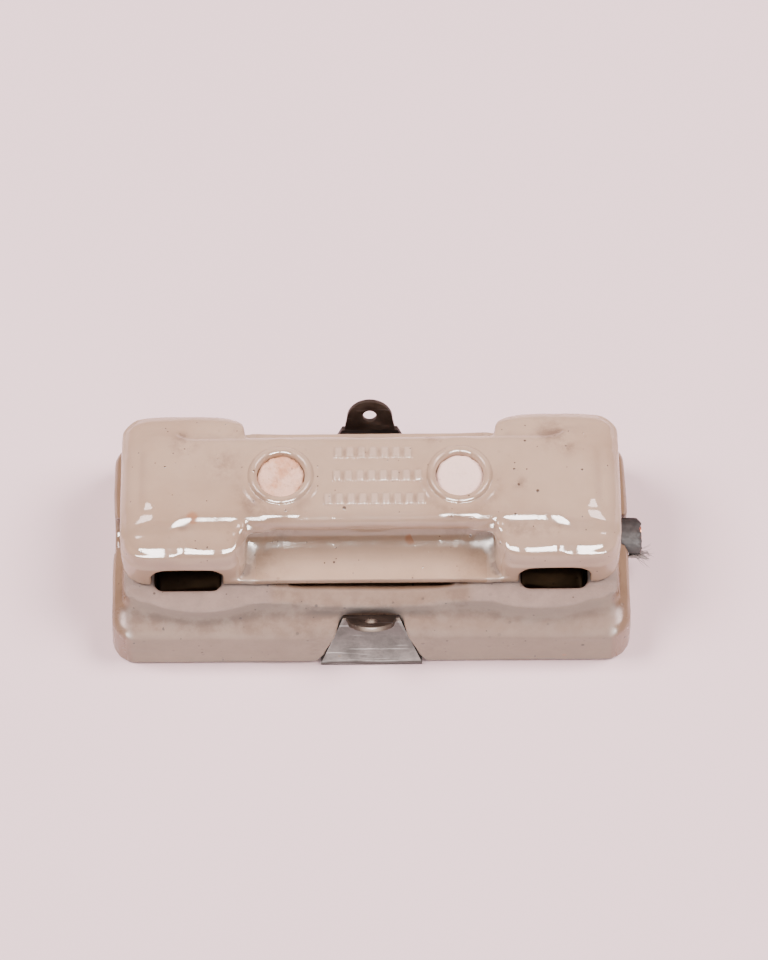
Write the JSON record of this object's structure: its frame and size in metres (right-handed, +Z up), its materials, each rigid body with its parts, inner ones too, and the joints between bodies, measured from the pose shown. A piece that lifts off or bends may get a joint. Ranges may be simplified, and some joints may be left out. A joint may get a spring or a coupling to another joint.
{
  "type": "rewirable fuse unit",
  "caption": "Glazed porcelain plug-in fuse: a carrier with finger grip and fuse wire on a base with cable contacts and a steel clip.",
  "frame": {"origin": "centre of the base's underside, midway between its two fixing holes", "axes": "+X along the unit, towards the end where the cut cable comes out; +Y to the back; +Z up, the way the carrier pulls out"},
  "size_m": [0.1343, 0.0642, 0.0391],
  "materials": {
    "porcelain": "gloss",
    "clip_steel": "satin",
    "brass": "satin",
    "screw_steel": "satin",
    "spring_steel": "satin",
    "seal_plaster": "matte",
    "pitch": "satin",
    "cable_rubber": "matte",
    "insulation_red": "satin",
    "copper": "satin",
    "tape_cloth": "matte",
    "tinned_wire": "satin",
    "tube_ceramic": "matte"
  },
  "bodies": {
    "base": {"base_body": "porcelain", "mounting_clip": "clip_steel", "clip_screw": "screw_steel", "contact_fixing_screws": "screw_steel", "underside_seals": "pitch", "cable_sheath": "cable_rubber", "cable_insulation": "insulation_red", "cable_conductor": "copper", "cable_tape": "tape_cloth", "left_base_contact": "brass", "left_jaw_spring": "spring_steel", "right_base_contact": "brass", "right_jaw_spring": "spring_steel"},
    "carrier": {"carrier_body": "porcelain", "blade_fixing_screws": "screw_steel", "blade_nuts": "brass", "wire_washers": "brass", "fuse_wire": "tinned_wire", "arc_tube": "tube_ceramic", "left_blade": "brass", "left_seal_disc": "seal_plaster", "right_blade": "brass", "right_seal_disc": "seal_plaster"},
    "left_inner_clamp_screw": {"left_inner_clamp_screw": "screw_steel"},
    "left_outer_clamp_screw": {"left_outer_clamp_screw": "screw_steel"},
    "left_wire_screw": {"left_wire_screw": "brass"},
    "right_inner_clamp_screw": {"right_inner_clamp_screw": "screw_steel"},
    "right_outer_clamp_screw": {"right_outer_clamp_screw": "screw_steel"},
    "right_wire_screw": {"right_wire_screw": "brass"}
  },
  "joints": [
    {"name": "carrier_pull", "type": "slide", "parent": "base", "child": "carrier", "axis": [0, 0, 1], "range_m": [0, 0.045]},
    {"name": "left_inner_clamp_screw_turn", "type": "hinge", "parent": "base", "child": "left_inner_clamp_screw", "pos_m": [-0.0404, 0.0016, 0.0156], "axis": [0, 0, 1], "continuous": true},
    {"name": "left_outer_clamp_screw_turn", "type": "hinge", "parent": "base", "child": "left_outer_clamp_screw", "pos_m": [-0.0504, 0.0016, 0.0156], "axis": [0, 0, 1], "continuous": true},
    {"name": "left_wire_screw_turn", "type": "hinge", "parent": "carrier", "child": "left_wire_screw", "pos_m": [-0.031, 0.0046, 0.0266], "axis": [0, 0, -1], "continuous": true},
    {"name": "right_inner_clamp_screw_turn", "type": "hinge", "parent": "base", "child": "right_inner_clamp_screw", "pos_m": [0.0404, 0.0016, 0.0156], "axis": [0, 0, 1], "continuous": true},
    {"name": "right_outer_clamp_screw_turn", "type": "hinge", "parent": "base", "child": "right_outer_clamp_screw", "pos_m": [0.0504, 0.0016, 0.0156], "axis": [0, 0, 1], "continuous": true},
    {"name": "right_wire_screw_turn", "type": "hinge", "parent": "carrier", "child": "right_wire_screw", "pos_m": [0.031, 0.0046, 0.0266], "axis": [0, 0, -1], "continuous": true}
  ]
}
